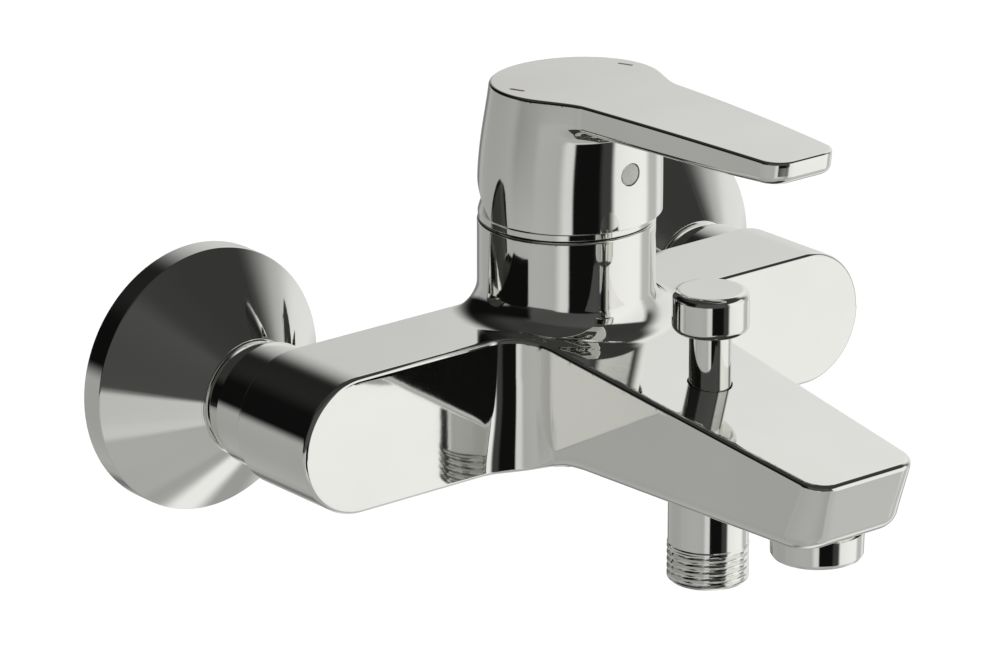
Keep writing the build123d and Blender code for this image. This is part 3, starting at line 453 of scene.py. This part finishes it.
def turned(name, corners, centre, axis="z", closed=True, around=144, thread=None):
    """A solid of revolution about the line through centre along axis, z or y. An open profile starts and
    ends on that line. thread is (from height, to height, pitch, depth) of a helical groove."""
    points = rounded(corners, closed)
    if thread:
        low, high, pitch, depth = thread
        dense = []
        for k, here in enumerate(points):
            dense.append(here)
            there = points[(k + 1) % len(points)]
            run = abs(there[1] - here[1])
            threaded = min(here[1], there[1]) < high and max(here[1], there[1]) > low
            if threaded and run > 0.3 and here[0] > THREAD_INSIDE:
                count = int(run / (pitch / THREAD_RINGS))
                dense += [here + (there - here) * i / count for i in range(1, count)]
        points = dense
    profile = np.array(points)
    angle = 2 * pi * np.arange(around) / around
    radius = np.repeat(profile[:, :1], around, 1)
    height = np.repeat(profile[:, 1:], around, 1)
    if thread:
        phase = (height - low) / pitch - angle[None] / (2 * pi)
        wave = np.abs((phase % 1) - 0.5) * 2
        groove = np.clip((THREAD_FLANK - wave) / THREAD_FLANK, 0, 1)
        groove = depth * (1 - (1 - groove) ** THREAD_ROUND)
        fade = step(low - 0.1, low + 0.9, height) * (1 - step(high - 0.9, high + 0.1, height))
        radius = radius - groove * fade * (radius > THREAD_INSIDE)
    u, v = radius * np.cos(angle)[None], radius * np.sin(angle)[None]
    if axis == "z":
        xyz = np.stack([centre[0] + u, centre[1] + v, centre[2] + height], -1)
    else:
        xyz = np.stack([centre[0] + u, centre[1] + height, centre[2] - v], -1)
    rows = len(profile)
    index = np.arange(rows * around).reshape(rows, around)
    faces = []
    for k in range(rows if closed else rows - 1):
        a, b = index[k], index[(k + 1) % rows]
        faces.append(np.stack([a, np.roll(a, -1), np.roll(b, -1), b], 1))
    return finish_mesh(add_mesh(name, xyz.reshape(-1, 3), np.concatenate(faces)))


def finish_mesh(obj, sharp=38):
    """Closes the poles, points the faces outwards and shades smoothly where they meet at under sharp
    degrees."""
    work = bmesh.new()
    work.from_mesh(obj.data)
    bmesh.ops.remove_doubles(work, verts=work.verts, dist=1e-7)
    bmesh.ops.dissolve_degenerate(work, edges=work.edges, dist=1e-8)
    bmesh.ops.recalc_face_normals(work, faces=work.faces)
    if work.calc_volume(signed=True) < 0:
        bmesh.ops.reverse_faces(work, faces=work.faces)
    work.to_mesh(obj.data)
    work.free()
    obj.data.shade_smooth()
    obj.data.set_sharp_from_angle(angle=radians(sharp))
    return obj


# the visual pieces, by the CAD node that each replaces
pieces = {"mixer_body": body, "lever_handle": lever}
for side, hand in ((-1, "left"), (1, "right")):
    inlet = (side * HALF, 0, 0)
    pieces["escutcheon_" + hand] = turned(
        "wall_cover_" + hand,
        [(35.0, 0, 0.3), (35.0, -6.6, 0.5), (15.9, -24.5, 0.5), (15.5, -24.9, 0.3), (14.9, -24.9),
         (14.9, -23.9), (34.0, -6.1), (34.0, 0, 0.3)],
        inlet, "y", around=192,
    )
    pieces["union_nut_" + hand] = turned(
        "collar_" + hand,
        [(13.25, -16.0), (14.6, -16.0, 0.3), (14.6, -24.9, 0.2), (16.4, -31.5, 0.4), (16.4, -42.0, 0.5),
         (10.6, -42.0), (10.6, -31.1), (13.25, -31.1)],
        inlet, "y",
    )
DOME_Z = 38.1  # centre of the dome's two spheres
DOME_OUTER, DOME_INNER = 23.6, 22.4
pieces["cartridge_dome"] = turned(
    "dome",
    [(22.8, 42.6, 0.2)]
    + [(DOME_OUTER * cos(a), DOME_Z + DOME_OUTER * sin(a)) for a in np.linspace(0.2617, 0.7686, 26)]
    + [(DOME_INNER * cos(a), DOME_Z + DOME_INNER * sin(a)) for a in np.linspace(0.8210, 0.2555, 20)]
    + [(16.0, 43.8), (16.0, 42.6)],
    (0, COLUMN_Y, 0),
)
pieces["diverter_knob"] = turned(
    "pull_knob",
    [(0, 33.3), (3.0, 33.3), (3.0, 26.3), (9.8, 26.3, 2.0), (9.8, 37.2, 2.0), (0, 37.2)],
    (0, DIVERTER_Y, 0), closed=False,
)
pieces["diverter_rod"] = turned(
    "pull_rod",
    [(0, 33.3), (3.0, 33.3), (3.0, 26.3), (5.4, 26.3), (5.4, -0.8, 0.4), (3.0, -0.8), (3.0, -8.3),
     (0, -8.3)],
    (0, DIVERTER_Y, 0), closed=False,
)
pieces["shower_outlet"] = turned(
    "hose_outlet",
    [(5.5, -9.5), (8.57, -9.5), (8.57, -15.5), (9.6, -15.5), (9.6, -14.5), (10.3, -14.5),
     (10.3, -29.9, 0.2), (10.48, -30.2, 0.2), (10.48, -39.3, 0.3), (9.68, -40.1, 0.3), (6.5, -40.1, 0.3),
     (6.5, -23.5), (5.5, -23.5)],
    (0, DIVERTER_Y, 0), around=160, thread=(-39.3, -30.4, 1.814, 1.0),
)
pieces["aerator_housing"] = turned(
    "aerator_shell",
    [(9.5, -5.0), (11.0, -5.0), (11.0, -14.5), (11.85, -14.5), (11.7, -20.6, 0.8), (11.1, -21.5, 0.3),
     (8.7, -21.5, 0.3), (8.7, -20.5), (9.5, -20.5)],
    (0, AERATOR_Y, 0),
)
pieces["lever_plug"] = turned(
    "front_plug",
    [(0, -85.0), (2.95, -85.0, 0.35), (2.95, -83.6), (0, -83.6)],
    (0, 0, PLUG_Z), "y", closed=False, around=64,
)


DASH_LONG = 4.6
DASH_WIDE = 1.0
DASH_ALONG = (0.28, -0.96)  # the way a dash runs, in x and y
DASH_RINGS = ((0.0, -0.28), (0.0, 0.0), (0.03, 0.02), (0.09, 0.03))  # inset, and height over the chrome


def skin(rings, around):
    """Faces of a tube through so many rings of around points each, with a cap at both ends."""
    faces = [
        (k + i, k + (i + 1) % around, k + around + (i + 1) % around, k + around + i)
        for k in range(0, (rings - 1) * around, around)
        for i in range(around)
    ]
    return faces, tuple(range(around)), tuple(range((rings - 1) * around, rings * around))


def inlay(name, x, y):
    """A flat enamel dash let into the handle's top, with a rounded rim a hair above the chrome."""
    angle = 2 * pi * np.arange(48) / 48
    run = (DASH_LONG - DASH_WIDE) / 2
    rings = []
    for inset, lift in DASH_RINGS:
        u = np.sign(np.cos(angle)) * run + np.cos(angle) * (DASH_WIDE / 2 - inset)
        v = np.sin(angle) * (DASH_WIDE / 2 - inset)
        px = x + u * DASH_ALONG[0] - v * DASH_ALONG[1]
        py = y + u * DASH_ALONG[1] + v * DASH_ALONG[0]
        rings.append(np.stack([px, py, crest(COLUMN_Y - py) + lift], 1))
    faces, first, last = skin(len(rings), len(angle))
    return finish_mesh(add_mesh(name, np.concatenate(rings), faces + [last, first[::-1]]))


pieces["hot_mark"] = inlay("hot_dash", -17.6, COLUMN_Y - 1.4)
pieces["cold_mark"] = inlay("cold_dash", 18.0, COLUMN_Y - 1.8)


WIRE_SIDES = 12
STEPS_PER_TURN = 40
END_TURN = 0.6  # about so much of a turn lies flat at each end
EASE = 0.35  # how much the pitch eases in and out of the end turns


def coil(name, node, radius, wire, turns):
    """A compression spring with flattened end turns, filling the height of its CAD node. wire is the
    wire's radius."""
    low, high = (corner.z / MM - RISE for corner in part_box(node))
    low, high = low + wire, high - wire
    turn = np.linspace(0, turns, int(turns * STEPS_PER_TURN) + 1)
    eased = low + (high - low) * step(0.25, turns - 0.25, turn)
    lift = EASE * eased + (1 - EASE) * np.interp(turn, [END_TURN, turns - END_TURN], [low, high])
    angle = 2 * pi * turn
    ring = 2 * pi * np.arange(WIRE_SIDES) / WIRE_SIDES
    reach = radius + wire * np.cos(ring)[None]
    x = reach * np.cos(angle)[:, None]
    y = DIVERTER_Y + reach * np.sin(angle)[:, None]
    z = lift[:, None] + wire * np.sin(ring)[None]
    faces, first, last = skin(len(turn), WIRE_SIDES)
    points = np.stack([x, y, z], -1).reshape(-1, 3)
    return finish_mesh(add_mesh(name, points, faces + [first, last[::-1]]), sharp=60)


pieces["diverter_spring"] = coil("return_coil", "diverter_spring", 6.9, 0.35, 5)
pieces["check_valve_spring"] = coil("valve_coil", "check_valve_spring", 1.9, 0.2, 6)


# ---------------------------------------------------------------- materials
def link(tree, source, target):
    tree.links.new(source, target)


NOISE_LOW, NOISE_HIGH = 0.3, 0.7  # nearly all of a noise texture's values lie between these


def noise(tree, scale, detail):
    """A noise texture in the object's own space; scale is in cycles per metre."""
    coordinates = tree.nodes.new("ShaderNodeTexCoord")
    texture = tree.nodes.new("ShaderNodeTexNoise")
    texture.inputs["Scale"].default_value = scale
    texture.inputs["Detail"].default_value = detail
    link(tree, coordinates.outputs["Object"], texture.inputs["Vector"])
    return texture.outputs["Fac"]


def mapped(tree, value, low, high):
    """A noise value brought to the range from low to high."""
    node = tree.nodes.new("ShaderNodeMapRange")
    node.inputs["From Min"].default_value = NOISE_LOW
    node.inputs["From Max"].default_value = NOISE_HIGH
    node.inputs["To Min"].default_value = low
    node.inputs["To Max"].default_value = high
    link(tree, value, node.inputs["Value"])
    return node.outputs["Result"]


def finish_of(name, light, dark, metallic, smooth, rough, patch, grain, depth, ior=1.5):
    """A material whose colour drifts from light to dark and whose roughness drifts from smooth to rough,
    in patches of the noise scale patch, with a relief of the noise scale grain that is depth mm deep."""
    made = bpy.data.materials.new(name)
    made.use_nodes = True
    tree = made.node_tree
    shader = tree.nodes["Principled BSDF"]
    shader.inputs["Metallic"].default_value = metallic
    shader.inputs["IOR"].default_value = ior
    ramp = tree.nodes.new("ShaderNodeValToRGB")
    ramp.color_ramp.elements[0].position = 0.35
    ramp.color_ramp.elements[0].color = (*light, 1)
    ramp.color_ramp.elements[1].position = 0.7
    ramp.color_ramp.elements[1].color = (*dark, 1)
    link(tree, noise(tree, patch, 3.0), ramp.inputs["Fac"])
    link(tree, ramp.outputs["Color"], shader.inputs["Base Color"])
    link(tree, mapped(tree, noise(tree, patch * 2.3, 5.0), smooth, rough), shader.inputs["Roughness"])
    bump = tree.nodes.new("ShaderNodeBump")
    bump.inputs["Strength"].default_value = 1.0
    bump.inputs["Distance"].default_value = depth * MM
    link(tree, noise(tree, grain, 2.0), bump.inputs["Height"])
    link(tree, bump.outputs["Normal"], shader.inputs["Normal"])
    return made


# by the record's material slot
finishes = {
    "chrome_body": finish_of(
        "polished_chrome_body", (0.86, 0.86, 0.83), (0.81, 0.81, 0.78), 1.0, 0.03, 0.06, 18, 260, 0.004
    ),
    "chrome_handle": finish_of(
        "polished_chrome_handle", (0.87, 0.87, 0.84), (0.82, 0.82, 0.79), 1.0, 0.03, 0.06, 22, 300, 0.003
    ),
    "chrome_cover": finish_of(
        "polished_chrome_covers", (0.85, 0.85, 0.82), (0.80, 0.80, 0.77), 1.0, 0.03, 0.07, 26, 280, 0.003
    ),
    "brass": finish_of(
        "machined_brass", (0.72, 0.52, 0.24), (0.60, 0.40, 0.17), 1.0, 0.24, 0.42, 60, 1500, 0.01
    ),
    "steel": finish_of(
        "stainless_steel", (0.62, 0.61, 0.59), (0.50, 0.50, 0.48), 1.0, 0.22, 0.36, 80, 2200, 0.006
    ),
    "spring_steel": finish_of(
        "drawn_spring_wire", (0.58, 0.57, 0.55), (0.42, 0.42, 0.41), 1.0, 0.2, 0.4, 120, 3000, 0.006
    ),
    "white_plastic": finish_of(
        "white_acetal", (0.80, 0.80, 0.77), (0.72, 0.72, 0.68), 0.0, 0.3, 0.45, 40, 1800, 0.01
    ),
    "grey_plastic": finish_of(
        "grey_acetal", (0.34, 0.35, 0.36), (0.26, 0.27, 0.28), 0.0, 0.35, 0.5, 40, 1800, 0.012
    ),
    "plug_plastic": finish_of(
        "satin_plug", (0.62, 0.62, 0.60), (0.52, 0.52, 0.50), 0.35, 0.28, 0.42, 90, 2600, 0.008
    ),
    "ceramic": finish_of(
        "lapped_ceramic", (0.86, 0.85, 0.82), (0.78, 0.77, 0.73), 0.0, 0.12, 0.22, 60, 2500, 0.003, ior=1.7
    ),
    "rubber": finish_of(
        "black_rubber", (0.022, 0.022, 0.023), (0.014, 0.014, 0.015), 0.0, 0.55, 0.75, 50, 1600, 0.015
    ),
    "red_enamel": finish_of(
        "red_enamel", (0.10, 0.028, 0.026), (0.075, 0.02, 0.018), 0.0, 0.45, 0.6, 300, 3000, 0.004, ior=1.25
    ),
    "blue_enamel": finish_of(
        "blue_enamel", (0.085, 0.10, 0.135), (0.065, 0.078, 0.105), 0.0, 0.45, 0.6, 300, 3000, 0.004,
        ior=1.25
    ),
}

record = frame["record"]
slot_of = {part["node"]: part["material_slot"] for part in record["subparts"]}
body_of = {node: name for name, nodes in record["behaviour"]["bodies"].items() for node in nodes}
for node, piece in pieces.items():
    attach(piece, body_of[node])
    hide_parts(node)
    piece.data.materials.append(finishes[slot_of[node]])
# each spring gets a mesh of its own; the table also gives its joint, the joint's full travel in metres and
# its fixed end, upper (1) or lower (0), which the loop doesn't use
for node, joint, travel, fixed in (
    ("diverter_spring", "diverter_pull", 0.007, 1),
    ("check_valve_spring", "check_valve_lift", 0.003, 0),
):
    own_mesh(pieces[node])
# the CAD nodes that stay get the same finishes
for node, shown in frame["nodes"].items():
    if node in pieces:
        continue
    if not shown.material_slots:
        shown.data.materials.append(None)
    for holder in shown.material_slots:
        holder.material = finishes[slot_of[node]]

# ---------------------------------------------------------------- studio
AIM = (0.13, -33.11, 5.37)  # the point in the middle of the picture
AZIMUTH = radians(-39.41)
ELEVATION = radians(19.30)
DISTANCE = 1586.57
SENSOR = 36.0
FOCAL = 218.45
FLOOR_Z = -300.0  # in the row frame
FLOOR_HALF = 9000


def direction(azimuth, elevation):
    """The unit vector that way: azimuth 0 is straight out of the wall, and positive towards +X."""
    return np.array([sin(azimuth) * cos(elevation), -cos(azimuth) * cos(elevation), sin(elevation)])


back = direction(AZIMUTH, ELEVATION)
across = np.array([cos(AZIMUTH), sin(AZIMUTH), 0])
upward = np.cross(back, across)
lens = bpy.data.cameras.new("camera")
lens.sensor_width = SENSOR
lens.lens = FOCAL
lens.clip_start = 0.05  # metres, as clip_end
lens.clip_end = 60.0
camera = bpy.data.objects.new("camera", lens)
spot = place(np.array([AIM]))[0] + back * DISTANCE * MM
rows = [[across[k], upward[k], back[k], spot[k]] for k in range(3)] + [[0, 0, 0, 1]]
camera.matrix_world = Matrix(rows)
bpy.context.scene.collection.objects.link(camera)
bpy.context.scene.camera = camera

corners = [(-1, -1), (1, -1), (1, 1), (-1, 1)]
corners = [(x * FLOOR_HALF, y * FLOOR_HALF, FLOOR_Z - RISE) for x, y in corners]
floor = add_mesh("floor", corners, [(0, 1, 2, 3)])
floor.data.materials.append(
    finish_of("pale_floor", (0.93, 0.93, 0.93), (0.91, 0.91, 0.91), 0.0, 0.7, 0.8, 3, 40, 0.2, ior=1.2)
)
floor.visible_glossy = False
# seen from below, the floor lets the object show
below = floor.data.materials[0].node_tree
clear = below.nodes.new("ShaderNodeBsdfTransparent")
side_seen = below.nodes.new("ShaderNodeNewGeometry")
either = below.nodes.new("ShaderNodeMixShader")
link(below, side_seen.outputs["Backfacing"], either.inputs[0])
link(below, below.nodes["Principled BSDF"].outputs[0], either.inputs[1])
link(below, clear.outputs[0], either.inputs[2])
link(below, either.outputs[0], below.nodes["Material Output"].inputs["Surface"])


def soft_sun(name, azimuth, elevation, spread, power):
    """A wide, even light that the chrome doesn't mirror, for the floor and the plastics. It comes from the
    given azimuth and elevation and is spread degrees across."""
    light = bpy.data.lights.new(name, "SUN")
    light.angle = radians(spread)
    light.energy = power
    obj = bpy.data.objects.new(name, light)
    from_there = Vector(direction(radians(azimuth), radians(elevation)))
    obj.rotation_euler = from_there.to_track_quat("Z", "Y").to_euler()
    obj.visible_glossy = False
    bpy.context.scene.collection.objects.link(obj)


soft_sun("overhead", 0, 86, 100, 2.75)
soft_sun("front_left", -60, 40, 60, 0.7)

# The room that the chrome mirrors. Each panel is (azimuth, half width, width of its soft sides, low, high,
# width of its soft top and bottom, brightness): a patch of the surroundings, in degrees seen from the
# object, laid over those before it, so their order matters. ROOM is the brightness between them.
ROOM = 0.045
PANELS = [
    (-46, 50, 12, -15, 44, 12, 0.076),
    (0, 200, 1, -95, -10.5, 3, 0.43),
    (-158, 38, 16, -70, -13, 4, 0.52),
    (128, 38, 30, -75, 43, 12, 0.88),
    (178, 30, 50, -75, 60, 30, 0.02),
    (-138, 52, 10, -10, 36, 22, 0.005),
    (-158, 38, 16, -70, -1.5, 11, 0.42),
    (82, 12, 12, -50, 12, 20, 0.52),
    (120, 8, 10, -56, -20, 12, 0.36),
    (43, 29, 12, -39, 31, 5, 0.93),
    (43, 29, 12, -70, -39, 6, 0.56),
    (-43, 8, 12, -40, -9, 6, 0.72),
    (-28, 22, 14, -41, -31, 5, 0.64),
    (-16, 21, 4, -29, -8, 5, 0.006),
    (6, 8, 8, -29, -8, 5, 0.05),
]
world = bpy.data.worlds.new("studio")
bpy.context.scene.world = world
world.use_nodes = True
room = world.node_tree


def maths(operation, *values):
    """A math node in the room's tree, on numbers and other nodes' outputs."""
    node = room.nodes.new("ShaderNodeMath")
    node.operation = operation
    for socket, value in zip(node.inputs, values):
        if isinstance(value, (int, float)):
            socket.default_value = value
        else:
            link(room, value, socket)
    return node.outputs[0]


def window(value, half, edge):
    """1 where the value is under half, fading to 0 across the edge."""
    node = room.nodes.new("ShaderNodeMapRange")
    node.interpolation_type = "SMOOTHSTEP"
    node.inputs["From Min"].default_value = half + edge / 2
    node.inputs["From Max"].default_value = half - edge / 2
    link(room, value, node.inputs["Value"])
    return node.outputs["Result"]


seen_along = room.nodes.new("ShaderNodeTexCoord")
split = room.nodes.new("ShaderNodeSeparateXYZ")
link(room, seen_along.outputs["Generated"], split.inputs[0])
toward = maths("MULTIPLY", split.outputs["Y"], -1.0)
heading = maths("DEGREES", maths("ARCTAN2", split.outputs["X"], toward))
height = maths("DEGREES", maths("ARCSINE", split.outputs["Z"]))
glow = ROOM
for azimuth, half, edge, low, high, rim, bright in PANELS:
    turn = maths("WRAP", maths("SUBTRACT", heading, azimuth), 180, -180)
    aside = window(maths("ABSOLUTE", turn), half, edge)
    level = maths("ABSOLUTE", maths("SUBTRACT", height, (low + high) / 2))
    mask = maths("MULTIPLY", aside, window(level, (high - low) / 2, rim))
    kept = maths("MULTIPLY", glow, maths("SUBTRACT", 1, mask))
    glow = maths("MULTIPLY_ADD", mask, bright, kept)
# a slow drift of the brightness, so that no panel is quite even
drift = maths("SINE", maths("MULTIPLY_ADD", heading, 0.045, maths("MULTIPLY", height, 0.05)))
glow = maths("MULTIPLY", glow, maths("MULTIPLY_ADD", drift, 0.07, 1))
# the camera itself sees plain white behind the object
sight = room.nodes.new("ShaderNodeLightPath")
backdrop = room.nodes["Background"]
link(room, maths("MAXIMUM", glow, sight.outputs["Is Camera Ray"]), backdrop.inputs["Strength"])
backdrop.inputs["Color"].default_value = (1.0, 1.0, 0.99, 1)
bpy.context.scene.view_settings.view_transform = "Standard"
